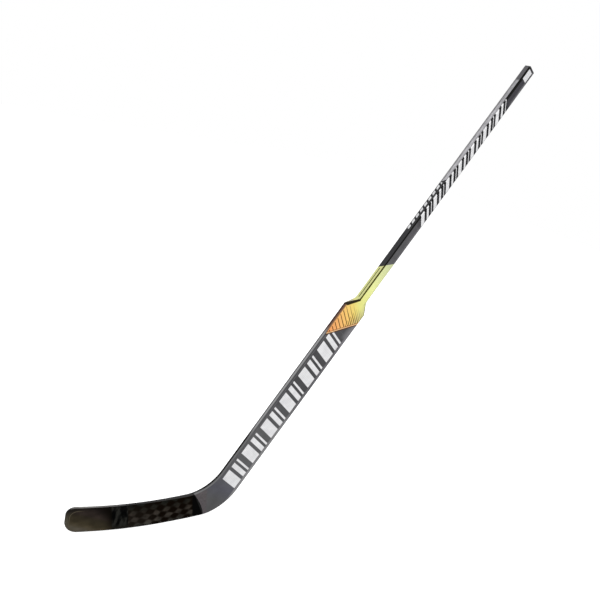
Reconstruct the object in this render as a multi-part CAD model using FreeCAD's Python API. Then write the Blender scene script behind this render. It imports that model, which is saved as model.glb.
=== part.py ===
import FreeCAD, Part
import math
import os

from FreeCAD import Vector

# Ice hockey goalkeeper's stick in its playing stance: the sole of the blade lies on the ice,
# the shaft leans away from the blade in the XZ plane, and -Y is the side that faces forward
# in the picture. The origin is on the shaft's axis, where the hand holds it above the paddle.

# Stance and overall length
shaft_lean_deg = 61.7
stick_length = 1482.0
grip_above_neck = 60.0

# Shaft tube
shaft_width = 29.8
shaft_thickness = 19.5
shaft_corner_radius = 3.2
shaft_wall = 2.0

# Paddle, from the heel corner to its shoulder corners
paddle_length = 667.0
paddle_width = 83.4
paddle_thickness = 15.4
edge_radius = 2.6
edge_limit_share = 0.48

# Shoulder, where the paddle narrows into the neck, a little higher on the outer side
shoulder_length = 30.8
outer_shoulder_lift = 4.5
shoulder_corner_radius = 4.0
shoulder_root_radius = 20.0
shoulder_swell_radius = 60.0
shoulder_skirt = 18.0
neck_length = 24.0

# Blade, measured along the sole from the heel corner
blade_length = 417.6
blade_height = 73.6
heel_outer_radius = 118.0
heel_inner_radius = 108.0
toe_top_radius = 20.5
toe_bottom_radius = 32.0
rocker_deg = 3.1
flat_past_heel = 70.0
flat_before_toe = 18.0

# Face curve of the blade: both faces bend back in plan, the front one from nearer the heel
front_curve_start = 20.0
back_curve_start = 83.0
toe_set_back = 44.3
toe_thickness = 8.8

# Laminate and cores
skin_thickness = 1.6
edge_band = 6.0
paddle_rib_width = 7.0
blade_rib_height = 8.0
blade_rib_share = 0.5

# Where the paddle, the heel wrap and the blade meet
heel_top = 102.0
heel_seam_sole = 62.0
heel_seam_top = 99.0
toe_band_length = 52.0

# Tenon that joins the paddle to the shaft
neck_wall = 2.75
tenon_in_paddle = 80.0
tenon_in_shaft = 70.0
glue_gap = 0.15

# End plug, which pulls out of the butt
plug_flange = 4.0
plug_barrel_length = 55.0
plug_clearance = 0.3
plug_wall = 2.4
plug_rim_radius = 1.4
plug_lead_in = 1.2
glue_groove_width = 4.0
glue_groove_depth = 0.8
groove_place_share = 0.25
lead_in_limit_share = 0.8

# Blank label near the butt
label_length = 33.5
label_margin = 0.5
label_thickness = 0.15
label_below_butt = 6.5

# Cutting tools reach this far past what they cut
overrun = 40.0

lean = math.radians(shaft_lean_deg)
along_dir = Vector(math.cos(lean), 0, math.sin(lean))
across_dir = Vector(-math.sin(lean), 0, math.cos(lean))
out_dir = Vector(0, -1, 0)

neck_start = paddle_length + shoulder_length
shaft_start = neck_start + neck_length
shaft_end = stick_length - plug_flange
skirt_start = paddle_length - shoulder_skirt

# Where the inner edges of paddle and blade would meet, as a station on the shaft, and the rocker:
# the sole and the top bend upwards between the end of the heel's arcs and the toe's corners
inner_corner = (blade_height - paddle_width * math.cos(lean)) / math.sin(lean)
inner_arc_end = (paddle_width * math.sin(lean) - inner_corner * math.cos(lean)
                 + heel_inner_radius * math.tan(lean / 2))
outer_arc_end = heel_outer_radius * math.tan(lean / 2)
rise = math.radians(rocker_deg)
rocker_start = max(inner_arc_end, outer_arc_end) + flat_past_heel
rocker_end = blade_length - max(toe_bottom_radius, toe_top_radius) - flat_before_toe
rocker_break = (rocker_start + rocker_end) / 2
rocker_radius = (rocker_end - rocker_start) / 2 / math.tan(rise / 2)


def stick_point(along, across, out=0.0):
    """A point by its place along the shaft, across it towards the blade, and out of the front face."""
    return along_dir * along + across_dir * (across + paddle_width / 2) + out_dir * out


def rounded_wire(corners):
    """Closed wire through (point, radius) corners, with a tangent arc at each radius."""
    edges = []
    ends = []
    for index, (here, radius) in enumerate(corners):
        to_last = (corners[index - 1][0] - here).normalize()
        to_next = (corners[(index + 1) % len(corners)][0] - here).normalize()
        if radius <= 0:
            ends.append((here, here))
            continue
        half_turn = (math.pi - to_last.getAngle(to_next)) / 2
        run = radius * math.tan(half_turn)
        start = here + to_last * run
        end = here + to_next * run
        inward = (to_last + to_next).normalize()
        middle = here + inward * (radius / math.cos(half_turn) - radius)
        edges.append(Part.Arc(start, middle, end).toShape())
        ends.append((start, end))
    for index in range(len(ends)):
        leave = ends[index - 1][1]
        arrive = ends[index][0]
        edges.append(Part.makeLine(leave, arrive))
    return Part.Wire(Part.__sortEdges__(edges))


def slab(wire, direction, half_reach):
    """Prism of a flat wire, reaching equally to both sides of its plane."""
    face = Part.Face(wire)
    face.translate(direction * -half_reach)
    return face.extrude(direction * (2 * half_reach))


def stick_box(along_from, along_to, across_half, out_half):
    """Box set square to the shaft's axis."""
    corners = [
        stick_point(along_from, -across_half),
        stick_point(along_to, -across_half),
        stick_point(along_to, across_half),
        stick_point(along_from, across_half),
    ]
    return slab(Part.makePolygon(corners + corners[:1]), out_dir, out_half)


def rounded_bar(along_from, along_to, width, thickness, radius):
    """Bar along the shaft's axis with a rounded rectangular section."""
    half_w = width / 2
    half_t = thickness / 2
    signs = [(-1, -1), (1, -1), (1, 1), (-1, 1)]
    corners = [(stick_point(along_from, u * half_w, v * half_t), radius) for u, v in signs]
    return Part.Face(rounded_wire(corners)).extrude(along_dir * (along_to - along_from))


def round_perimeter(solid, outline, end_stations):
    """Round the edges where the side walls of an outline meet the front and back faces."""
    chosen = []
    for edge in solid.Edges:
        first, last = edge.ParameterRange
        middle = edge.valueAt((first + last) / 2)
        tangent = edge.tangentAt((first + last) / 2)
        flat_middle = Vector(middle.x, 0, middle.z)
        along = flat_middle.dot(along_dir) - stick_point(0, 0).dot(along_dir)
        on_wall = outline.distToShape(Part.Vertex(flat_middle))[0] < match_tolerance
        at_end = any(abs(along - station) < match_tolerance for station in end_stations)
        through = abs(tangent.dot(out_dir)) > math.cos(math.radians(1))
        if on_wall and not at_end and not through:
            chosen.append(edge)
    return solid.makeFillet(edge_round, chosen)


def one_solid(shape):
    """The largest solid of a boolean result, cleaned of needless seams."""
    largest = max(shape.Solids, key=lambda solid: solid.Volume)
    return largest.removeSplitter().Solids[0]


def body_outline(paddle_end, inset):
    """Outline of paddle, heel and blade in the plane of the stick, up to a station on the paddle.

    With an inset it runs that far inside the outer edge, as the border of the cores does."""
    half = paddle_width / 2 - inset
    high = blade_height - inset
    toe = blade_length - inset
    low_break = rocker_break - inset * math.tan(rise / 2)
    high_break = rocker_break - high * math.tan(rise / 2)
    crook = (high - (paddle_width - inset) * math.cos(lean)) / math.sin(lean)
    return rounded_wire([
        (stick_point(paddle_end, -half), 0),
        (stick_point(inset * math.tan(lean / 2), -half), heel_outer_radius - inset),
        (Vector(-low_break, 0, inset), rocker_radius - inset),
        (Vector(-toe, 0, inset + (toe - low_break) * math.tan(rise)), toe_bottom_radius - inset),
        (Vector(-toe, 0, high + (toe - high_break) * math.tan(rise)), toe_top_radius - inset),
        (Vector(-high_break, 0, high), rocker_radius - high),
        (stick_point(crook, half), heel_inner_radius + inset),
        (stick_point(paddle_end, half), 0),
    ])


def face_curve(front, depth):
    """Plan of the front or back face, sunk by a depth: a straight run, then an arc to past the toe.

    Gives the straight run's far end, the start and middle of the arc, and the arc's end."""
    side = -1 if front else 1
    start = front_curve_start if front else back_curve_start
    drop = toe_set_back + side * toe_thickness / 2 - side * paddle_thickness / 2
    run = blade_length - start
    radius = (run * run + drop * drop) / (2 * drop)
    centre_y = side * paddle_thickness / 2 + radius
    sunk = radius + side * depth
    reach = run + toe_thickness

    def arc_point(distance):
        return Vector(-start - distance, centre_y - math.sqrt(sunk * sunk - distance * distance), 0)

    far = Vector(stick_length, centre_y - sunk, 0)
    return far, arc_point(0), arc_point(reach / 2), arc_point(reach)


def layer(first, second):
    """Everything between two face curves, at any height."""
    edges = []
    for far, start, middle, end in (first, second):
        edges.append(Part.makeLine(far, start))
        edges.append(Part.Arc(start, middle, end).toShape())
    edges.append(Part.makeLine(first[0], second[0]))
    edges.append(Part.makeLine(first[3], second[3]))
    return slab(Part.Wire(Part.__sortEdges__(edges)), Vector(0, 0, 1), stick_length)


def shoulder_solid():
    """Shoulder and neck: narrows from the paddle to the shaft while it swells to the shaft's depth."""
    half_p = paddle_width / 2
    half_s = shaft_width / 2
    plan = [
        (skirt_start, half_p, 0, 0),
        (paddle_length, half_p, outer_shoulder_lift, shoulder_corner_radius),
        (neck_start, half_s, outer_shoulder_lift, shoulder_root_radius),
        (shaft_start, half_s, 0, 0),
    ]
    right = [(stick_point(s + lift, -p), r) for s, p, lift, r in plan]
    left = [(stick_point(s, p), r) for s, p, lift, r in reversed(plan)]
    outline = rounded_wire(right + left)
    depth = [
        (skirt_start, paddle_thickness / 2, 0),
        (paddle_length, paddle_thickness / 2, shoulder_swell_radius),
        (neck_start, shaft_thickness / 2, shoulder_swell_radius),
        (shaft_start, shaft_thickness / 2, 0),
    ]
    front = [(stick_point(s, 0, n), r) for s, n, r in depth]
    back = [(stick_point(s, 0, -n), r) for s, n, r in reversed(depth)]
    side_view = slab(rounded_wire(front + back), across_dir, paddle_width)
    block = slab(outline, out_dir, shaft_thickness).common(side_view)
    return round_perimeter(one_solid(block), outline, (skirt_start, shaft_start))


def end_plug():
    """Moulded plug: a flange the size of the shaft and a hollow barrel with glue grooves."""
    bore_w = shaft_width - 2 * shaft_wall
    bore_t = shaft_thickness - 2 * shaft_wall
    barrel_w = bore_w - 2 * plug_clearance
    barrel_t = bore_t - 2 * plug_clearance
    barrel_r = shaft_corner_radius - shaft_wall - plug_clearance
    low = shaft_end - plug_barrel_length
    flange = rounded_bar(shaft_end, stick_length, shaft_width, shaft_thickness, shaft_corner_radius)
    rim = [e for e in flange.Edges if min(v.Point.dot(along_dir) for v in e.Vertexes)
           > stick_point(stick_length, 0).dot(along_dir) - match_tolerance]
    flange = flange.makeFillet(plug_rim_radius, rim)
    barrel = rounded_bar(low, shaft_end, barrel_w, barrel_t, barrel_r)
    mouth = [e for e in barrel.Edges if max(v.Point.dot(along_dir) for v in e.Vertexes)
             < stick_point(low, 0).dot(along_dir) + match_tolerance]
    barrel = barrel.makeChamfer(min(plug_lead_in, lead_in_limit_share * barrel_r), mouth)
    hollow = rounded_bar(low - overrun, shaft_end - plug_wall, barrel_w - 2 * plug_wall,
                         barrel_t - 2 * plug_wall, 0)
    barrel = barrel.cut(hollow)
    for side in (-1, 1):
        for place in (-1, 1):
            groove = stick_box(low - overrun, shaft_end - plug_wall, glue_groove_width / 2,
                               glue_groove_depth)
            groove.translate(across_dir * (place * groove_place_share * bore_w))
            groove.translate(out_dir * (side * barrel_t / 2))
            barrel = barrel.cut(groove)
    return flange.fuse(barrel).removeSplitter()


os.makedirs("parts", exist_ok=True)
pieces = {}

# The perimeter is rounded by its own radius, or by less where the blade's thinnest wall needs that
front_arc = Part.Arc(*face_curve(True, 0)[1:]).toShape()
back_arc = Part.Arc(*face_curve(False, 0)[1:]).toShape()
blade_wall = front_arc.distToShape(back_arc)[0]
edge_round = min(edge_radius, edge_limit_share * blade_wall)
match_tolerance = edge_round / 1000

# Paddle, heel and blade share one outer form, which is then divided into its layers
outline = body_outline(skirt_start, 0)
outer_form = slab(outline, out_dir, stick_length).common(layer(face_curve(True, 0), face_curve(False, 0)))
outer_form = round_perimeter(one_solid(outer_form), outline, (skirt_start,))
front_layer = layer(face_curve(True, -overrun), face_curve(True, skin_thickness))
back_layer = layer(face_curve(False, skin_thickness), face_curve(False, -overrun))
core_block = slab(body_outline(skirt_start, edge_band), out_dir, stick_length)

# Regions: the paddle above the heel's top, the blade past the slanted heel seam, the heel between
paddle_region = stick_box(heel_top, skirt_start + overrun, paddle_width, paddle_width)
seam_slope = (heel_seam_top - heel_seam_sole) / blade_height
seam_low = heel_seam_sole - seam_slope * overrun
seam_high = heel_seam_top + seam_slope * overrun
blade_high = blade_height + overrun
blade_far = blade_length + overrun
blade_corners = [
    Vector(-seam_low, 0, -overrun),
    Vector(-blade_far, 0, -overrun),
    Vector(-blade_far, 0, blade_high),
    Vector(-seam_high, 0, blade_high),
]
blade_region = slab(Part.makePolygon(blade_corners + blade_corners[:1]), out_dir, blade_length)

paddle_form = outer_form.common(paddle_region)
blade_form = outer_form.cut(paddle_region).common(blade_region)
heel_form = outer_form.cut(paddle_region).cut(blade_region)


def divide(form):
    """Front skin, back skin, core and edge band of one stretch of the outer form."""
    front = form.common(front_layer)
    back = form.common(back_layer)
    middle = form.cut(front_layer).cut(back_layer)
    return front, back, middle.common(core_block), middle.cut(core_block)


# Tenon: flat between the skins of the paddle and shoulder, full depth inside the shaft
tenon_low = skirt_start - tenon_in_paddle
tenon_high = shaft_start + tenon_in_shaft
bore_width = shaft_width - 2 * shaft_wall
bore_thickness = shaft_thickness - 2 * shaft_wall
bore_radius = shaft_corner_radius - shaft_wall
flat_half = paddle_thickness / 2 - skin_thickness
tenon_flat = stick_box(tenon_low, shaft_start, shaft_width / 2 - neck_wall, flat_half)
tenon_round = rounded_bar(shaft_start, tenon_high, bore_width - 2 * glue_gap,
                          bore_thickness - 2 * glue_gap, bore_radius - glue_gap)
pieces["neck_tenon"] = tenon_flat.fuse(tenon_round).removeSplitter()
pieces["shoulder_block"] = one_solid(shoulder_solid().cut(tenon_flat))

# Paddle
front, back, core, band = divide(paddle_form)
pieces["paddle_front_skin"] = one_solid(front)
pieces["paddle_back_skin"] = one_solid(back)
rib_bar = stick_box(heel_top - overrun, tenon_low, paddle_rib_width / 2, paddle_thickness)
pieces["paddle_rib"] = one_solid(core.common(rib_bar))
foam = core.cut(rib_bar).cut(tenon_flat)
by_side = sorted(foam.Solids, key=lambda solid: solid.CenterOfMass.dot(across_dir))
pieces["paddle_outer_core"] = by_side[0]
pieces["paddle_inner_core"] = by_side[-1]
by_side = sorted(band.Solids, key=lambda solid: solid.CenterOfMass.dot(across_dir))
pieces["paddle_outer_edge"] = by_side[0]
pieces["paddle_inner_edge"] = by_side[-1]

# Heel
front, back, core, band = divide(heel_form)
pieces["heel_front_skin"] = one_solid(front)
pieces["heel_back_skin"] = one_solid(back)
pieces["heel_core"] = one_solid(core)
by_height = sorted(band.Solids, key=lambda solid: solid.CenterOfMass.z)
pieces["heel_outer_edge"] = by_height[0]
pieces["heel_inner_edge"] = by_height[-1]

# Blade
front, back, core, band = divide(blade_form)
pieces["blade_front_skin"] = one_solid(front)
pieces["blade_back_skin"] = one_solid(back)
rib_middle = blade_height * blade_rib_share
rib_corners = [
    Vector(0, 0, rib_middle - blade_rib_height / 2),
    Vector(-rocker_break, 0, rib_middle - blade_rib_height / 2),
    Vector(-blade_far, 0, rib_middle - blade_rib_height / 2
           + (blade_far - rocker_break) * math.tan(rise)),
]
rib_top = [point + Vector(0, 0, blade_rib_height) for point in reversed(rib_corners)]
rib_bar = slab(Part.makePolygon(rib_corners + rib_top + rib_corners[:1]), out_dir, blade_length)
pieces["blade_rib"] = one_solid(core.common(rib_bar))
by_height = sorted(core.cut(rib_bar).Solids, key=lambda solid: solid.CenterOfMass.z)
pieces["blade_lower_core"] = by_height[0]
pieces["blade_upper_core"] = by_height[-1]
toe_corners = [
    Vector(toe_band_length - blade_length, 0, -overrun),
    Vector(toe_band_length - blade_length, 0, blade_high),
    Vector(-blade_far, 0, blade_high),
    Vector(-blade_far, 0, -overrun),
]
toe_region = slab(Part.makePolygon(toe_corners + toe_corners[:1]), out_dir, blade_length)
pieces["toe_edge"] = one_solid(band.common(toe_region))
by_height = sorted(band.cut(toe_region).Solids, key=lambda solid: solid.CenterOfMass.z)
pieces["blade_sole_edge"] = by_height[0]
pieces["blade_top_edge"] = by_height[-1]

# Shaft, its plug and its label
tube = rounded_bar(shaft_start, shaft_end, shaft_width, shaft_thickness, shaft_corner_radius)
bore = rounded_bar(shaft_start - overrun, shaft_end + overrun, bore_width, bore_thickness, bore_radius)
pieces["shaft_tube"] = tube.cut(bore)
pieces["end_plug"] = end_plug()
label_high = stick_length - label_below_butt
label_half = shaft_width / 2 - shaft_corner_radius - label_margin
label = stick_box(label_high - label_length, label_high, label_half, label_thickness / 2)
label.translate(out_dir * (shaft_thickness / 2 + label_thickness / 2))
pieces["shaft_label"] = label

grip = stick_point(neck_start + grip_above_neck, 0)
for name, shape in pieces.items():
    shape.translate(-grip)
    shape.exportStep("parts/" + name + ".step")
    print(name, len(shape.Solids), round(shape.Volume), shape.isValid())
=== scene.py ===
import math

import bpy
from mathutils import Matrix, Vector


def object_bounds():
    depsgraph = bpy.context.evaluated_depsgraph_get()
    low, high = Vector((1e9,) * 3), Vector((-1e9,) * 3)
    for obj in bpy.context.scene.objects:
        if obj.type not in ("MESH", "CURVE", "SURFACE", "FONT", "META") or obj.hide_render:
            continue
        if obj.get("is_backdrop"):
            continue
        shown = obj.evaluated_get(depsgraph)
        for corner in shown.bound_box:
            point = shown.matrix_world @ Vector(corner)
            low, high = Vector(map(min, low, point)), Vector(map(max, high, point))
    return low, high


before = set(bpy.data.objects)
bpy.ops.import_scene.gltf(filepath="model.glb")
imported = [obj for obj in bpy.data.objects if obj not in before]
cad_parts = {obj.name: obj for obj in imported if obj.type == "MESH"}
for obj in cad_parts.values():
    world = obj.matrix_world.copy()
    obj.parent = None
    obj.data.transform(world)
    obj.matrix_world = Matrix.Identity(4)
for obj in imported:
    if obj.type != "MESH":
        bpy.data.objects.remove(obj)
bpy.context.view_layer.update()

# The stick's own axes in the row frame: up the shaft, across it towards the blade, out of its front
LEAN = math.radians(61.7)
ALONG = Vector((math.cos(LEAN), 0, math.sin(LEAN)))
ACROSS = Vector((-math.sin(LEAN), 0, math.cos(LEAN)))
OUT = Vector((0, -1, 0))
INTO_STICK = Matrix((ALONG, ACROSS, OUT)).to_euler()

# Sizes in millimetres; stations run up the shaft from the corner where its outer edge meets the sole
MM = 1000.0
GRIP_STATION = 757.8
PADDLE_LENGTH = 667.0
PADDLE_HALF = 41.7
NECK_START = 697.8
OUTER_SHOULDER_LIFT = 4.5
SHAFT_HALF = 14.9
BLADE_LENGTH = 417.6
BLADE_HEIGHT = 73.6
ROCKER_BREAK = 278.6
ROCKER_SLOPE = math.tan(math.radians(3.1))
TOE_CORNER = 27.0
GRIP = ALONG * GRIP_STATION + ACROSS * PADDLE_HALF

# Weights that pick one scale out of a place on the stick, or on the blade
UP_SHAFT = (1, 0, 0)
OVER_SHAFT = (0, 1, 0)
FROM_BACK = (0, 0, 1)
TO_TOE = (1, 0, 0)
UP_BLADE = (0, 0, 1)

# Foil bars in millimetres: the stretch along the shaft, the groups that repeat, and the width across
PADDLE_BARS = {
    "start": 78.4, "end": 597.4, "pitch": 86.5, "bars": [(0, 31), (41, 55), (63, 69)],
    "slant": -0.25, "low": -29.0, "high": 33.0}
SHAFT_BARS = {
    "start": 968.0, "end": 1367.7, "pitch": 57.1, "bars": [(0, 15.5), (26, 35), (45.5, 48.5)],
    "slant": -0.8, "low": -12.0, "high": SHAFT_HALF + 1.0}
BUTT_START = 1368.0

MATH = "ShaderNodeMath"
VECTOR = "ShaderNodeVectorMath"
RANGE = "ShaderNodeMapRange"
MIX = "ShaderNodeMix"
NOISE = "ShaderNodeTexNoise"
MAPPING = "ShaderNodeMapping"
BUMP = "ShaderNodeBump"


def linear(code):
    """An sRGB hex colour as linear RGBA."""
    parts = [int(code[i:i + 2], 16) / 255 for i in (1, 3, 5)]
    return [c / 12.92 if c <= 0.04045 else ((c + 0.055) / 1.055) ** 2.4 for c in parts] + [1.0]


def add(tree, kind, sockets=None, **settings):
    """Add a node with its settings; a socket takes a value, another socket, or a node's first output."""
    node = tree.nodes.new(kind)
    for name, value in settings.items():
        setattr(node, name, value)
    shown = [socket for socket in node.inputs if socket.enabled]
    for key, value in (sockets or {}).items():
        socket = shown[key] if isinstance(key, int) else next(s for s in shown if s.name == key)
        if isinstance(value, bpy.types.Node):
            value = next(output for output in value.outputs if output.enabled)
        if isinstance(value, bpy.types.NodeSocket):
            tree.links.new(value, socket)
        else:
            socket.default_value = value
    return node


def new_finish(name):
    """An empty node material and its tree."""
    material = bpy.data.materials.new(name)
    material.use_nodes = True
    material.node_tree.nodes.clear()
    return material, material.node_tree


def close_finish(tree, sockets):
    """End a finish's tree in one shader and the surface output."""
    shader = add(tree, "ShaderNodeBsdfPrincipled", sockets)
    add(tree, "ShaderNodeOutputMaterial", {"Surface": shader})


def stick_mm(tree):
    """Place on the stick in millimetres: along the shaft from the heel corner, across, and out."""
    place = add(tree, "ShaderNodeTexCoord").outputs["Object"]
    return add(tree, MAPPING, {
        "Vector": place, "Location": (GRIP_STATION, 0, 0), "Rotation": INTO_STICK, "Scale": (MM, MM, MM)})


def blade_mm(tree):
    """Place on the blade in millimetres: from the heel corner to the toe, back, and up from the sole."""
    place = add(tree, "ShaderNodeTexCoord").outputs["Object"]
    return add(tree, MAPPING, {
        "Vector": place, "Location": (-GRIP.x, 0, GRIP.z), "Scale": (-MM, MM, MM)})


def measure(tree, place, weights):
    """A weighted sum of a place's three numbers, for a straight or slanted scale across the finish."""
    return add(tree, VECTOR, {0: place, 1: weights}, operation="DOT_PRODUCT")


def facing(tree, direction):
    """How squarely the surface faces a direction, from -1 to 1."""
    normal = add(tree, "ShaderNodeTexCoord").outputs["Normal"]
    return add(tree, VECTOR, {0: normal, 1: direction}, operation="DOT_PRODUCT")


def past(tree, value, edge, blur):
    """0 before an edge on a scale and 1 past it, blurred over a width; a negative width turns it round."""
    return add(tree, RANGE, {
        "Value": value, "From Min": edge - blur / 2, "From Max": edge + blur / 2},
        interpolation_type="SMOOTHSTEP")


def between(tree, value, low, high, blur):
    """1 between two edges on a scale, 0 outside."""
    inside = past(tree, value, low, blur)
    beyond = past(tree, value, high, blur)
    return add(tree, MATH, {0: inside, 1: beyond}, operation="SUBTRACT", use_clamp=True)


def both(tree, *masks):
    """Where all of the masks are on; a plain number among them thins the result."""
    made = masks[0]
    for mask in masks[1:]:
        made = add(tree, MATH, {0: made, 1: mask}, operation="MULTIPLY")
    return made


def either(tree, *masks):
    """Where any of the masks is on."""
    made = masks[0]
    for mask in masks[1:]:
        made = add(tree, MATH, {0: made, 1: mask}, operation="MAXIMUM")
    return made


def without(tree, mask):
    """Where a mask is off."""
    return add(tree, MATH, {0: 1.0, 1: mask}, operation="SUBTRACT")


def laid_over(tree, mask, under, over):
    """One colour, or feed of colours, laid over another where a mask is on."""
    return add(tree, MIX, {"Factor": mask, "A": under, "B": over}, data_type="RGBA")


def grain(tree, place, size, detail=2.0):
    """Noise with features of one size, in the place's own millimetres."""
    return add(tree, NOISE, {"Vector": place, "Scale": 1 / size, "Detail": detail})


def streaks(tree, place, sizes, detail):
    """Noise drawn out into streaks, with a feature size in millimetres for each of the place's axes."""
    drawn = add(tree, MAPPING, {"Vector": place, "Scale": [1 / size for size in sizes]})
    return add(tree, NOISE, {"Vector": drawn, "Scale": 1.0, "Detail": detail})


def colour_ramp(tree, value, stops):
    """Colours that change along a scale, from (place, colour) stops."""
    first = stops[0][0]
    last = stops[-1][0]
    share = add(tree, RANGE, {"Value": value, "From Min": first, "From Max": last})
    ramp = add(tree, "ShaderNodeValToRGB", {"Fac": share})
    elements = ramp.color_ramp.elements
    while len(elements) < len(stops):
        elements.new(0.5)
    for element, (place, code) in zip(elements, stops):
        element.position = (place - first) / (last - first)
        element.color = linear(code)
    return ramp


def mottled(tree, colour, pattern, low, high, depth):
    """A colour made darker and lighter, by up to a share of itself, as a pattern goes from low to high."""
    level = add(tree, RANGE, {
        "Value": pattern, "From Min": low, "From Max": high, "To Min": 1 - depth, "To Max": 1 + depth})
    return add(tree, "ShaderNodeHueSaturation", {"Value": level, "Color": colour})


def lacquer_peel(tree, stick):
    """The faint orange peel of sprayed lacquer, 2.4 mm from crest to crest."""
    peel = grain(tree, stick, 2.4)
    return add(tree, BUMP, {"Height": peel, "Strength": 0.3, "Distance": 0.05 / MM})


def bar_rows(tree, stick, start, end, pitch, bars, slant, low, high):
    """Groups of slanted bars that repeat along the shaft, within a stretch of it and a width across it."""
    leaning = measure(tree, stick, (1, slant, 0))
    counted = add(tree, MATH, {0: leaning, 1: start}, operation="SUBTRACT")
    within = add(tree, MATH, {0: counted, 1: pitch}, operation="FLOORED_MODULO")
    groups = [between(tree, within, first, last, 0.5) for first, last in bars]
    stretch = between(tree, leaning, start, end, 0.5)
    width = between(tree, measure(tree, stick, OVER_SHAFT), low, high, 0.5)
    return both(tree, either(tree, *groups), stretch, width)


def wide_faces(tree):
    """1 on the front and back faces, 0 on the narrow sides and most of their rounding."""
    square = add(tree, MATH, {0: facing(tree, OUT)}, operation="ABSOLUTE")
    return past(tree, square, 0.84, 0.2)


def narrow_sides(tree):
    """1 on the narrow sides all round, 0 on the front and back faces."""
    square = add(tree, MATH, {0: facing(tree, OUT)}, operation="ABSOLUTE")
    return without(tree, past(tree, square, 0.5, 0.3))


def front_corner(tree):
    """1 on the rounded corner between the front face and the inner narrow side."""
    turned = between(tree, facing(tree, OUT), 0.25, 0.992, 0.015)
    return both(tree, turned, past(tree, facing(tree, ACROSS), 0.08, 0.08))


def corner_line(tree, stick):
    """1 on the front corner of neck and shaft and on a narrow strip of the front face beside it."""
    beside = past(tree, measure(tree, stick, OVER_SHAFT), SHAFT_HALF - 3.7, 0.8)
    in_front = past(tree, facing(tree, OUT), 0.8, 0.2)
    above = past(tree, measure(tree, stick, UP_SHAFT), NECK_START - 3.0, 2.0)
    return either(tree, front_corner(tree), both(tree, beside, in_front, above))


def warm_fade(tree, stick):
    """Amber at the paddle's end that fades to lime on the neck, with painted shade towards the outer edge.
    """
    fade = colour_ramp(tree, measure(tree, stick, (1, -0.6, 0)), [
        (560.0, "#EE9F62"), (590.0, "#F5B26C"), (632.0, "#F7C971"), (662.0, "#EED777"),
        (688.0, "#E7E68A"), (745.0, "#EAEFA2"), (830.0, "#C8D0A2")])
    # Painted shade: a dull grey laid over the outer part of the face
    outer = past(tree, measure(tree, stick, OVER_SHAFT), -18.0, -24.0)
    return laid_over(tree, both(tree, outer, 0.3), fade, linear("#A29E96"))


def hairlines(tree, stick):
    """Fine slanted lines under the amber lacquer: 13 mm apart, and twice as close on the outer half."""
    pitch = 13.0
    broad = 2.8
    fine = 2.2
    counted = add(tree, MATH, {0: measure(tree, stick, (1, -0.55, 0)), 1: pitch},
                  operation="FLOORED_MODULO")
    first = between(tree, counted, 0, broad, 0.6)
    second = between(tree, counted, pitch / 2, pitch / 2 + fine, 0.6)
    outer_half = past(tree, measure(tree, stick, OVER_SHAFT), 2.0, -6.0)
    return both(tree, either(tree, first, both(tree, second, outer_half)), wide_faces(tree))


def silver_foil(tree, stick):
    """Hot-stamped silver foil: pale, with fine lines drawn along the shaft and a slight cloud."""
    # Lines are 6 mm apart; the real hairlines are finer, drawn coarser so that they show
    turns_per_mm = 2 * math.pi / 6.0
    waves = add(tree, MATH, {0: measure(tree, stick, OVER_SHAFT), 1: turns_per_mm}, operation="MULTIPLY")
    wave = add(tree, MATH, {0: waves}, operation="SINE")
    cloud = grain(tree, stick, 18.0)
    tone = add(tree, MATH, {0: wave, 1: 0.18, 2: cloud}, operation="MULTIPLY_ADD")
    share = add(tree, RANGE, {"Value": tone, "From Min": 0.2, "From Max": 0.8})
    return laid_over(tree, share, linear("#C8C8CA"), linear("#DEDEDF"))


def graphite(tree, stick):
    """Graphite with fine flake and a slight cloud: its tone drifts up the stick, and painted sheen and
    highlight pale its edges.
    """
    along = measure(tree, stick, UP_SHAFT)
    across = measure(tree, stick, OVER_SHAFT)
    plain = colour_ramp(tree, along, [
        (-40.0, "#565656"), (20.0, "#525253"), (58.0, "#505058"), (100.0, "#57575A"), (240.0, "#5A5A5B"),
        (320.0, "#525254"), (390.0, "#464648"), (640.0, "#4A494B")])
    # Painted sheen: a paler grey laid along the outer edge
    painted_sheen = colour_ramp(tree, along, [
        (-40.0, "#747475"), (100.0, "#868687"), (270.0, "#828283"), (340.0, "#6E6E70"), (400.0, "#626265"),
        (520.0, "#69686B"), (600.0, "#7E7B80")])
    colour = laid_over(tree, past(tree, across, -31.0, -9.0), plain, painted_sheen)
    # Painted highlight: a paler strip on the face beside the inner edge, above the heel
    painted_inner_highlight = both(tree, between(tree, across, 37.6, 40.4, 1.5), past(tree, along, 320.0, 40.0), 0.45)
    colour = laid_over(tree, painted_inner_highlight, colour, linear("#707073"))
    # Painted sheen: the outer half pales towards the paddle's upper end
    painted_upper_sheen = both(tree, past(tree, across, -20.0, -20.0), past(tree, along, 585.0, 14.0), 0.7)
    colour = laid_over(tree, painted_upper_sheen, colour, linear("#78777A"))
    # Flake is 0.05 mm; the speckle is drawn 1.6 mm wide so that it shows
    flake = grain(tree, stick, 1.6, 1.0)
    cloud = grain(tree, stick, 45.0)
    tone = add(tree, MATH, {0: flake, 1: 0.5, 2: cloud}, operation="MULTIPLY_ADD")
    return mottled(tree, colour, tone, 0.45, 1.05, 0.16)


def amber_end(tree, stick, colour):
    """Amber lacquer over the paddle's upper end, past a slanted border with a brown and a pale line."""
    border = measure(tree, stick, (1, 0.868, 0))
    amber = laid_over(tree, hairlines(tree, stick), warm_fade(tree, stick), linear("#4E2A10"))
    amber = laid_over(tree, between(tree, border, 609.6, 612.2, 0.8), amber, linear("#8A4A20"))
    amber = laid_over(tree, between(tree, border, 604.0, 609.6, 0.8), amber, linear("#EDC08C"))
    colour = laid_over(tree, between(tree, border, 601.6, 606.4, 1.0), colour, linear("#523521"))
    return laid_over(tree, past(tree, border, 605.8, 0.6), colour, amber)


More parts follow.
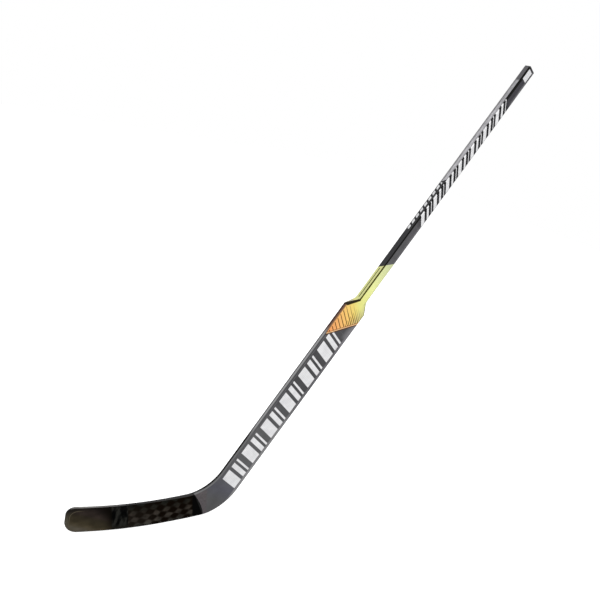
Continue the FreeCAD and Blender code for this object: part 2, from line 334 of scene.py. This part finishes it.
def side_tones(tree, stick):
    """The narrow sides: black, with painted sheen greying their front by the heel and most of them higher
    up, a painted highlight down their middle there, and brown beside the amber.
    """
    along = measure(tree, stick, UP_SHAFT)
    out = measure(tree, stick, FROM_BACK)
    # Painted sheen: black at the back, grey towards the front
    crook = colour_ramp(tree, out, [
        (-7.7, "#040404"), (-3.6, "#080808"), (-1.8, "#5A5A5B"), (1.5, "#787879"), (4.0, "#707071"),
        (7.0, "#58585A")])
    low = colour_ramp(tree, out, [
        (-7.7, "#030303"), (-2.0, "#040404"), (-0.2, "#545455"), (2.2, "#767677"), (4.5, "#6E6E6F"),
        (7.0, "#585859")])
    # Painted sheen and highlight: grey over most of the side, palest along its middle
    high = colour_ramp(tree, out, [
        (-7.7, "#080809"), (-4.2, "#3C3C3D"), (-1.2, "#9E9E9F"), (1.0, "#A0A0A1"), (3.0, "#828283"),
        (5.6, "#4E4E50"), (7.0, "#444446")])
    brown = colour_ramp(tree, out, [
        (-7.7, "#0A0708"), (-4.5, "#281D1E"), (-1.0, "#5E4641"), (2.5, "#7E5F48"), (6.0, "#B5875A")])
    side = laid_over(tree, past(tree, along, 34.0, 24.0), crook, low)
    side = laid_over(tree, past(tree, along, 238.0, 50.0), side, high)
    return laid_over(tree, past(tree, along, 580.0, 30.0), side, brown)


def heel_end(tree, blade, colour):
    """Where the lacquer ends on the carbon: a curved edge, bowed by 4.5 mm, with black past it."""
    height = measure(tree, blade, (0, 0, 1 / BLADE_HEIGHT))
    bow = both(tree, height, without(tree, height))
    straight = measure(tree, blade, (1, 0, -0.515))
    curved = add(tree, MATH, {0: bow, 1: 18.0, 2: straight}, operation="MULTIPLY_ADD")
    return laid_over(tree, past(tree, curved, 60.5, 0.8), colour, linear("#040404"))


def graphite_lacquer():
    """Satin metallic lacquer over paddle and heel: graphite, with foil bars and an amber upper end."""
    material, tree = new_finish("satin_metallic_lacquer")
    stick = stick_mm(tree)
    blade = blade_mm(tree)
    # The heel turns a little browner beside the carbon
    browner = past(tree, measure(tree, blade, (1, 0, -0.176)), 51.0, 8.0)
    brownish = mottled(tree, linear("#565153"), grain(tree, stick, 7.0), 0.35, 0.65, 0.12)
    colour = laid_over(tree, browner, graphite(tree, stick), brownish)
    bars = both(tree, wide_faces(tree), bar_rows(tree, stick, **PADDLE_BARS))
    colour = laid_over(tree, bars, colour, silver_foil(tree, stick))
    colour = amber_end(tree, stick, colour)
    colour = laid_over(tree, narrow_sides(tree), colour, side_tones(tree, stick))
    colour = heel_end(tree, blade, colour)
    close_finish(tree, {
        "Base Color": colour, "Metallic": both(tree, bars, 0.4), "Roughness": 0.45, "IOR": 1.45,
        "Specular IOR Level": 0.0, "Coat Weight": 0.15, "Coat Roughness": 0.2,
        "Normal": lacquer_peel(tree, stick)})
    return material


def neck_lime(tree, stick):
    """Amber fading to lime up the neck, with painted shade by the outer edge; dull narrow sides with a pin
    line.
    """
    along = measure(tree, stick, UP_SHAFT)
    narrow = narrow_sides(tree)
    dull = both(tree, narrow, past(tree, along, 690.0, 16.0))
    colour = laid_over(tree, dull, warm_fade(tree, stick), linear("#DADC98"))
    slope = both(tree, narrow, between(tree, along, PADDLE_LENGTH - 3.0, 688.0, 8.0))
    colour = laid_over(tree, slope, colour, linear("#BDB79C"))
    # Painted shade: a darker lime towards the outer edge of the neck's wide faces
    outer = both(tree, past(tree, measure(tree, stick, OVER_SHAFT), -10.5, -3.0), without(tree, narrow),
                 past(tree, along, NECK_START - 5.0, 8.0), 0.8)
    colour = laid_over(tree, outer, colour, linear("#B4B97E"))
    pin = both(tree, narrow, between(tree, measure(tree, stick, FROM_BACK), -1.15, 1.15, 0.4),
               between(tree, along, 703.0, 800.0, 1.0))
    return laid_over(tree, pin, colour, linear("#3A3812"))


def slope_line(tree, stick):
    """1 on the shoulder's inner slope: all of it beside the paddle, less of its back as it climbs."""
    low_end = Vector((PADDLE_LENGTH, PADDLE_HALF - 3.7, 0))
    high_end = Vector((NECK_START, SHAFT_HALF - 7.2, 0))
    outward = (high_end - low_end).normalized().cross(Vector((0, 0, -1)))
    climb = 0.42
    outside = past(tree, measure(tree, stick, outward), outward.dot(low_end), 0.8)
    in_front = past(tree, measure(tree, stick, (-climb, 0, 1)), -climb * PADDLE_LENGTH - 6.9, 1.5)
    stretch = between(tree, measure(tree, stick, UP_SHAFT), PADDLE_LENGTH - 2.0, NECK_START, 1.0)
    return both(tree, outside, in_front, stretch)


def painted_rim_shade(tree, stick):
    """1 along the outer outline of the shoulder, up to the neck, where a dark strip is painted as shade.
    """
    slope = Vector((PADDLE_HALF - SHAFT_HALF, PADDLE_LENGTH - NECK_START, 0)).normalized()
    beyond = slope.dot(Vector((PADDLE_LENGTH + OUTER_SHOULDER_LIFT, -PADDLE_HALF, 0)))
    width = 3.6
    on_slope = past(tree, measure(tree, stick, slope), beyond - width, 2.0)
    on_side = past(tree, measure(tree, stick, (0, -1, 0)), PADDLE_HALF - width, 2.0)
    below = without(tree, past(tree, measure(tree, stick, UP_SHAFT), 694.0, 6.0))
    return both(tree, either(tree, on_slope, on_side), below)


def shoulder_paint():
    """Gloss lacquer on shoulder and neck: the warm fade ends in lime, with a dark line on one corner."""
    material, tree = new_finish("gloss_lacquer_shoulder")
    stick = stick_mm(tree)
    along = measure(tree, stick, UP_SHAFT)
    fades = add(tree, RANGE, {"Value": along, "From Min": 678.0, "From Max": 644.0})
    lines = both(tree, hairlines(tree, stick), fades)
    colour = laid_over(tree, lines, neck_lime(tree, stick), linear("#4E2A10"))
    below = both(tree, narrow_sides(tree), without(tree, past(tree, along, PADDLE_LENGTH - 1.0, 2.0)))
    colour = laid_over(tree, below, colour, side_tones(tree, stick))
    on_neck = both(tree, corner_line(tree, stick), past(tree, along, PADDLE_LENGTH + 2.0, 2.0))
    colour = laid_over(tree, on_neck, colour, linear("#403E00"))
    colour = laid_over(tree, slope_line(tree, stick), colour, linear("#271F0A"))
    # Painted shade: a dark strip along the shoulder's rounded outer edge
    colour = laid_over(tree, painted_rim_shade(tree, stick), colour, linear("#45432A"))
    close_finish(tree, {
        "Base Color": colour, "Roughness": 0.4, "IOR": 1.45, "Specular IOR Level": 0.0,
        "Coat Weight": 0.1, "Coat Roughness": 0.12, "Normal": lacquer_peel(tree, stick)})
    return material


def shaft_charcoal(tree, stick):
    """Charcoal on the shaft's faces: near black between the bars, paler by the outer edge at both ends."""
    along = measure(tree, stick, UP_SHAFT)
    charcoal = colour_ramp(tree, along, [
        (800.0, "#5A5A5C"), (950.0, "#535255"), (985.0, "#242426"), (1354.0, "#222225"),
        (1372.0, "#403F44"), (1480.0, "#38373C")])
    outer = both(tree, past(tree, measure(tree, stick, OVER_SHAFT), -7.0, -8.0),
                 without(tree, between(tree, along, 955.0, 1372.0, 20.0)))
    charcoal = laid_over(tree, outer, charcoal, linear("#666568"))
    return mottled(tree, charcoal, grain(tree, stick, 30.0), 0.3, 0.7, 0.12)


def shaft_sides(tree, stick):
    """The shaft's narrow sides: charcoal, then streaked pale grey past a slant, dull by the butt."""
    along = measure(tree, stick, UP_SHAFT)
    silver = colour_ramp(tree, measure(tree, stick, FROM_BACK), [
        (-9.0, "#6C6C6E"), (-4.0, "#989799"), (0.0, "#BDBCC0"), (4.0, "#B4B3B7"), (8.0, "#7A797C")])
    silver = mottled(tree, silver, streaks(tree, stick, (16.0, 1.0, 2.6), 1.0), 0.3, 0.7, 0.3)
    duller = both(tree, past(tree, along, 1345.0, 50.0), 0.3)
    silver = laid_over(tree, duller, silver, linear("#6E6D70"))
    silver = laid_over(tree, past(tree, along, 1434.0, 6.0), silver, linear("#616063"))
    upper = past(tree, measure(tree, stick, (1, 0, -0.9)), 1095.0, 1.0)
    return laid_over(tree, upper, linear("#3A3A3C"), silver)


def side_dashes(tree, stick):
    """A row of slanted dashes on the narrow sides, 12 mm long and 19 mm apart."""
    counted = add(tree, MATH, {0: measure(tree, stick, (1, 0, 0.6)), 1: 19.0}, operation="FLOORED_MODULO")
    return both(tree, narrow_sides(tree), between(tree, counted, 0, 12.0, 0.5),
                between(tree, measure(tree, stick, FROM_BACK), -5.8, 0.8, 0.5),
                between(tree, measure(tree, stick, UP_SHAFT), 932.0, 1088.0, 0.5))


def butt_corner(tree, stick):
    """1 on the front corner by the butt, where the black line is broader."""
    return both(tree, past(tree, measure(tree, stick, OVER_SHAFT), 9.2, 0.8),
                past(tree, measure(tree, stick, FROM_BACK), 5.4, 0.8),
                past(tree, measure(tree, stick, UP_SHAFT), BUTT_START, 4.0))


def shaft_finish():
    """Lacquered carbon tube: lime up to a slanted edge, then charcoal with foil bars and grip texture."""
    material, tree = new_finish("lacquered_carbon_tube_shaft")
    stick = stick_mm(tree)
    wide = wide_faces(tree)
    bars = both(tree, either(tree, wide, front_corner(tree)), bar_rows(tree, stick, **SHAFT_BARS))
    foil = either(tree, bars, side_dashes(tree, stick))
    charcoal = laid_over(tree, narrow_sides(tree), shaft_charcoal(tree, stick), shaft_sides(tree, stick))
    charcoal = laid_over(tree, foil, charcoal, silver_foil(tree, stick))
    upper = past(tree, measure(tree, stick, (1, 0.78, -0.68)), 817.3, 0.6)
    colour = laid_over(tree, upper, neck_lime(tree, stick), charcoal)
    corner = either(tree, corner_line(tree, stick), butt_corner(tree, stick))
    ink = laid_over(tree, upper, linear("#403E00"), linear("#060605"))
    colour = laid_over(tree, both(tree, corner, without(tree, bars)), colour, ink)
    # Grip texture: raised pips 1.8 mm apart on the upper shaft, as moulded into the lacquer
    pips = add(tree, "ShaderNodeTexVoronoi", {"Vector": stick, "Scale": 1 / 1.8, "Randomness": 0.15})
    height = both(tree, pips, wide, past(tree, measure(tree, stick, UP_SHAFT), 1090.0, 30.0))
    grip = add(tree, BUMP, {
        "Height": height, "Strength": 0.5, "Distance": 0.12 / MM, "Normal": lacquer_peel(tree, stick)})
    close_finish(tree, {
        "Base Color": colour, "Metallic": both(tree, foil, upper, 0.4), "Roughness": 0.45, "IOR": 1.45,
        "Specular IOR Level": 0.0, "Coat Weight": 0.15, "Coat Roughness": 0.2, "Normal": grip})
    return material


def tow_wave(tree, cloth, width, degrees):
    """A wave across tows of one width, counted at an angle to the blade's length: half a wave to a tow."""
    per_mm = math.pi / width
    angle = math.radians(degrees)
    phase = measure(tree, cloth, (math.cos(angle) * per_mm, 0, math.sin(angle) * per_mm))
    return add(tree, MATH, {0: phase}, operation="COSINE")


def woven_check(tree, blade):
    """Which tow is on top in a plain weave of wide tows that wander: 1 to -1, with rounded cells."""
    wander = grain(tree, blade, 32.0, 2.0)
    shift = add(tree, VECTOR, {0: wander.outputs["Color"], 1: (-0.5, -0.5, -0.5)}, operation="ADD")
    shift = add(tree, VECTOR, {0: shift, "Scale": 11.0}, operation="SCALE")
    cloth = add(tree, VECTOR, {0: blade, 1: shift}, operation="ADD")
    # One cell is centred 199 mm from the heel corner and 39.5 mm above the sole
    cloth = add(tree, VECTOR, {0: cloth, 1: (199.0, 0, 39.5)}, operation="SUBTRACT")
    return both(tree, tow_wave(tree, cloth, 18.6, 31.3), tow_wave(tree, cloth, 16.2, 111.8))


def woven_tows(tree, blade, weave, smoke):
    """The woven stretch: dark tows and soft brown ones, the brown a painted reflection of the tows that
    catch the light; they turn smoky towards the toe.
    """
    smoky = both(tree, past(tree, measure(tree, blade, TO_TOE), 215.0, 60.0), 0.22)
    on_top = add(tree, MIX, {"Factor": smoky, "A": past(tree, weave, 0.12, 0.85), "B": 0.9},
                 data_type="FLOAT")
    # Painted reflection: the tows that catch the light, drawn as soft brown
    light = colour_ramp(tree, measure(tree, blade, UP_BLADE), [
        (0.0, "#3A3B36"), (14.0, "#37332E"), (42.0, "#2D2823"), (58.0, "#211F1A"), (72.0, "#151613")])
    light = mottled(tree, light, smoke, 0.35, 0.65, 0.4)
    # Filaments are 0.007 mm thick; the streaks are drawn 1.2 mm wide so that they show
    light = mottled(tree, light, streaks(tree, blade, (22.0, 22.0, 1.2), 1.0), 0.35, 0.65, 0.15)
    return laid_over(tree, on_top, linear("#0B0501"), light)


def smoky_band(tree, blade):
    """The dark band before the toe, with smoke drawn out up the blade, and the black beside the heel."""
    smear = streaks(tree, blade, (9.0, 9.0, 30.0), 2.0)
    band = colour_ramp(tree, smear, [(0.4, "#020202"), (0.5, "#0A0A09"), (0.63, "#252522")])
    low = past(tree, measure(tree, blade, UP_BLADE), 12.0, -16.0)
    band = laid_over(tree, low, band, linear("#1E1D19"))
    heelward = past(tree, measure(tree, blade, TO_TOE), 180.0, -40.0)
    return laid_over(tree, heelward, band, laid_over(tree, smear, linear("#010101"), linear("#060606")))


def above_sole(tree, blade):
    """Height above the sole where it rises towards the toe."""
    return add(tree, MATH, {
        0: measure(tree, blade, (-ROCKER_SLOPE, 0, 1)), 1: ROCKER_SLOPE * ROCKER_BREAK}, operation="ADD")


def brown_toe(tree, blade, up, weave, smoke):
    """Beige-brown resin over the toe, which darkens upwards and, most of all, towards the band."""
    before_toe = add(tree, MATH, {0: BLADE_LENGTH, 1: measure(tree, blade, TO_TOE)}, operation="SUBTRACT")
    shade = add(tree, MATH, {0: before_toe, 1: 0.35, 2: up}, operation="MULTIPLY_ADD")
    brown = colour_ramp(tree, shade, [
        (22.0, "#504B41"), (30.0, "#484134"), (36.0, "#413A2C"), (42.0, "#373124"), (60.0, "#2C271E"),
        (70.0, "#2E2723"), (90.0, "#1D1816"), (107.0, "#0E0907")])
    clear_of_band = past(tree, measure(tree, blade, (1, 0, -0.45)), 305.0, 30.0)
    brown = laid_over(tree, clear_of_band, linear("#0B0805"), brown)
    brown = mottled(tree, brown, smoke, 0.35, 0.65, 0.14)
    return mottled(tree, brown, weave, -0.6, 0.6, 0.08)


def toe_reach(tree, blade, up):
    """How far towards the toe's rounded outline a place lies: one corner radius on the outline itself."""
    middle = BLADE_HEIGHT / 2
    run = add(tree, MATH, {0: measure(tree, blade, TO_TOE), 1: BLADE_LENGTH - TOE_CORNER},
              operation="SUBTRACT")
    from_middle = add(tree, MATH, {0: up, 1: middle}, operation="SUBTRACT")
    off_middle = add(tree, MATH, {0: from_middle}, operation="ABSOLUTE")
    rise = add(tree, MATH, {0: off_middle, 1: middle - TOE_CORNER}, operation="SUBTRACT")
    corner = add(tree, "ShaderNodeCombineXYZ", {
        0: add(tree, MATH, {0: run, 1: 0.0}, operation="MAXIMUM"),
        1: add(tree, MATH, {0: rise, 1: 0.0}, operation="MAXIMUM")})
    return add(tree, VECTOR, {0: corner}, operation="LENGTH").outputs["Value"]


def blade_carbon():
    """Spread-tow carbon under clear epoxy: a check of black tows and brown painted reflection, a smoky
    band, and a beige-brown toe.
    """
    material, tree = new_finish("spread_tow_carbon_epoxy_blade")
    blade = blade_mm(tree)
    up = above_sole(tree, blade)
    weave = woven_check(tree, blade)
    smoke = grain(tree, blade, 24.0)
    woven = both(tree, past(tree, measure(tree, blade, (1, 0, -0.2)), 92.0, 4.0),
                 without(tree, past(tree, measure(tree, blade, (1, 0, -0.155)), 265.0, 1.5)))
    colour = laid_over(tree, woven, smoky_band(tree, blade), woven_tows(tree, blade, weave, smoke))
    toe = past(tree, measure(tree, blade, (1, 0, -0.14)), 305.0, 5.0)
    colour = laid_over(tree, toe, colour, brown_toe(tree, blade, up, weave, smoke))
    # A fine moulded bead runs 8.5 mm inside the outline; the rim past it is paler low down, dark on top
    reach = toe_reach(tree, blade, up)
    near_toe = past(tree, measure(tree, blade, TO_TOE), 385.0, 24.0)
    rim = both(tree, past(tree, reach, TOE_CORNER - 6.0, 1.2), near_toe)
    rim_tone = colour_ramp(tree, up, [
        (10.0, "#504B42"), (40.0, "#4A463C"), (54.0, "#38342C"), (66.0, "#1E1B18")])
    colour = laid_over(tree, rim, colour, rim_tone)
    bead = both(tree, between(tree, reach, TOE_CORNER - 9.4, TOE_CORNER - 7.6, 1.0), near_toe)
    colour = laid_over(tree, bead, colour, linear("#504A3D"))
    swell = add(tree, MATH, {0: weave}, operation="ABSOLUTE")
    relief = add(tree, MATH, {0: both(tree, swell, woven), 1: bead}, operation="ADD")
    bump = add(tree, BUMP, {"Height": relief, "Strength": 0.35, "Distance": 0.25 / MM})
    close_finish(tree, {
        "Base Color": colour, "Roughness": 0.4, "IOR": 1.5, "Specular IOR Level": 0.0,
        "Coat Weight": 0.02, "Coat Roughness": 0.1, "Normal": bump})
    return material


def edge_resin():
    """Black epoxy on the blade's narrow edges: glossy, with a painted highlight in grey along the top,
    brightest near the toe.
    """
    material, tree = new_finish("black_epoxy_blade_edges")
    blade = blade_mm(tree)
    cloud = grain(tree, blade, 14.0)
    black = laid_over(tree, cloud, linear("#080707"), linear("#161514"))
    # Painted highlight: a grey strip on the top edge, brightest near the toe
    painted_top_highlight = colour_ramp(tree, measure(tree, blade, TO_TOE), [
        (60.0, "#2B2A2A"), (230.0, "#2F2E2D"), (270.0, "#2A2929"), (300.0, "#5A5958"), (390.0, "#84827F"),
        (412.0, "#3A3836")])
    top = past(tree, facing(tree, (0, 0, 1)), 0.82, 0.2)
    colour = laid_over(tree, top, black, painted_top_highlight)
    bump = add(tree, BUMP, {"Height": cloud, "Strength": 0.2, "Distance": 0.1 / MM})
    close_finish(tree, {
        "Base Color": colour, "Roughness": 0.35, "IOR": 1.5, "Specular IOR Level": 0.0,
        "Coat Weight": 0.15, "Coat Roughness": 0.1, "Normal": bump})
    return material


def plug_plastic():
    """Injection moulded polyethylene: a fine spark-eroded grain, grey on the sides and black in front."""
    material, tree = new_finish("moulded_polyethylene_plug")
    stick = stick_mm(tree)
    pits = grain(tree, stick, 0.8, 3.0)
    grey = laid_over(tree, pits, linear("#48484B"), linear("#626265"))
    black = laid_over(tree, pits, linear("#141416"), linear("#242427"))
    front = either(tree, past(tree, facing(tree, OUT), 0.6, 0.3), front_corner(tree))
    colour = laid_over(tree, front, grey, black)
    bump = add(tree, BUMP, {"Height": pits, "Strength": 0.4, "Distance": 0.08 / MM})
    close_finish(tree, {
        "Base Color": colour, "Roughness": 0.5, "IOR": 1.5, "Specular IOR Level": 0.2, "Normal": bump})
    return material


def label_vinyl():
    """White vinyl label, left blank: a faint film grain, with a grey strip along its outer border."""
    material, tree = new_finish("white_vinyl_label")
    stick = stick_mm(tree)
    film = grain(tree, stick, 3.0)
    white = laid_over(tree, film, linear("#CACACC"), linear("#DCDCDE"))
    along = between(tree, measure(tree, stick, UP_SHAFT), 1443.2, 1474.4, 0.3)
    across = past(tree, measure(tree, stick, OVER_SHAFT), -6.7, 0.3)
    colour = laid_over(tree, both(tree, along, across), linear("#3E3E41"), white)
    bump = add(tree, BUMP, {"Height": film, "Strength": 0.2, "Distance": 0.02 / MM})
    close_finish(tree, {
        "Base Color": colour, "Roughness": 0.4, "IOR": 1.5, "Specular IOR Level": 0.2, "Normal": bump})
    return material


def inner_laminate():
    """Bare glass and carbon laminate inside the stick: brownish black with lengthwise fibre streaks."""
    material, tree = new_finish("bare_laminate_inside")
    stick = stick_mm(tree)
    fibre = streaks(tree, stick, (30.0, 0.9, 0.9), 2.0)
    colour = laid_over(tree, fibre, linear("#191613"), linear("#3A342B"))
    bump = add(tree, BUMP, {"Height": fibre, "Strength": 0.3, "Distance": 0.1 / MM})
    close_finish(tree, {"Base Color": colour, "Roughness": 0.55, "IOR": 1.5, "Normal": bump})
    return material


def core_foam():
    """Closed-cell polyurethane foam core: cream, matt, with cells about 1 mm across."""
    material, tree = new_finish("polyurethane_foam_core")
    stick = stick_mm(tree)
    cells = add(tree, "ShaderNodeTexVoronoi", {"Vector": stick, "Scale": 1.0})
    colour = laid_over(tree, cells, linear("#E2D3A4"), linear("#B99F66"))
    bump = add(tree, BUMP, {"Height": cells, "Strength": 0.5, "Distance": 0.3 / MM})
    close_finish(tree, {"Base Color": colour, "Roughness": 0.9, "IOR": 1.5, "Normal": bump})
    return material


FINISHED_NODES = [
    (graphite_lacquer, ["paddle_front_skin", "paddle_back_skin", "paddle_outer_edge", "paddle_inner_edge",
                        "heel_front_skin", "heel_back_skin", "heel_outer_edge", "heel_inner_edge"]),
    (shoulder_paint, ["shoulder_block"]),
    (shaft_finish, ["shaft_tube"]),
    (blade_carbon, ["blade_front_skin", "blade_back_skin"]),
    (edge_resin, ["toe_edge", "blade_sole_edge", "blade_top_edge"]),
    (plug_plastic, ["end_plug"]),
    (label_vinyl, ["shaft_label"]),
    (inner_laminate, ["neck_tenon", "paddle_rib", "blade_rib"]),
    (core_foam, ["paddle_outer_core", "paddle_inner_core", "heel_core", "blade_lower_core",
                 "blade_upper_core"]),
]
for make_finish, names in FINISHED_NODES:
    made = make_finish()
    for name in names:
        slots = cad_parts[name].data.materials
        slots.clear()
        slots.append(made)


def white_to_the_eye(tree, unlit, shown):
    """A strength that is one value for the camera, gloss and glass, and another for the light itself."""
    path = add(tree, "ShaderNodeLightPath")
    seen = either(tree, path.outputs["Is Camera Ray"], path.outputs["Is Glossy Ray"],
                  path.outputs["Is Transmission Ray"])
    return add(tree, MIX, {"Factor": seen, "A": unlit, "B": shown}, data_type="FLOAT")


def white_room():
    """A white world that the camera sees as white and that lights the object softly."""
    world = bpy.data.worlds.new("white_room")
    world.use_nodes = True
    tree = world.node_tree
    tree.nodes.clear()
    strength = white_to_the_eye(tree, 0.5, 1.0)
    glow = add(tree, "ShaderNodeBackground", {"Color": linear("#FFFFFF"), "Strength": strength})
    add(tree, "ShaderNodeOutputWorld", {"Surface": glow})
    bpy.context.scene.world = world


def pale_floor():
    """A pale matt floor 0.4 mm under the sole, lifted to white for the eye but still taking the shadow."""
    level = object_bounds()[0].z - 0.4 / MM
    bpy.ops.mesh.primitive_plane_add(size=14.0, location=(0, 0, level))
    floor = bpy.context.object
    floor.name = "floor"
    material, tree = new_finish("pale_floor")
    matt = add(tree, "ShaderNodeBsdfDiffuse", {"Color": linear("#F4F4F4")})
    lift = add(tree, "ShaderNodeEmission", {
        "Color": linear("#FFFFFF"), "Strength": white_to_the_eye(tree, 0.0, 0.62)})
    surface = add(tree, "ShaderNodeAddShader", {0: matt, 1: lift})
    add(tree, "ShaderNodeOutputMaterial", {"Surface": surface})
    floor.data.materials.append(material)
    floor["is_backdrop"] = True


def soft_lamp(name, place, size, power):
    """A large square lamp aimed at the middle of the stick."""
    lamp = bpy.data.lights.new(name, "AREA")
    lamp.size = size
    lamp.energy = power
    holder = bpy.data.objects.new(name, lamp)
    holder.location = place
    holder.rotation_euler = (-Vector(place)).to_track_quat("-Z", "Y").to_euler()
    bpy.context.scene.collection.objects.link(holder)


def photo_camera():
    """The camera of the photograph, worked out from the stick's outline in a 600 by 600 frame."""
    data = bpy.data.cameras.new("camera")
    data.sensor_width = 36.0
    data.lens = 36.0
    camera = bpy.data.objects.new("camera", data)
    right = Vector((0.79246, -0.55930, 0.24328)).normalized()
    back = Vector((-0.60980, -0.71793, 0.33574)).normalized()
    up = back.cross(right).normalized()
    turn = Matrix((right, up, back)).transposed().to_4x4()
    camera.matrix_world = Matrix.Translation((-1.1648, -1.0894, 0.4613)) @ turn
    bpy.context.scene.collection.objects.link(camera)
    bpy.context.scene.camera = camera


white_room()
pale_floor()
soft_lamp("key_lamp", (1.2, -2.6, 1.9), 3.4, 56.0)
soft_lamp("fill_lamp", (-2.6, -1.0, 1.6), 3.2, 36.0)
soft_lamp("back_lamp", (0.4, 2.6, 1.8), 3.2, 40.0)
photo_camera()
bpy.context.scene.view_settings.view_transform = "Standard"
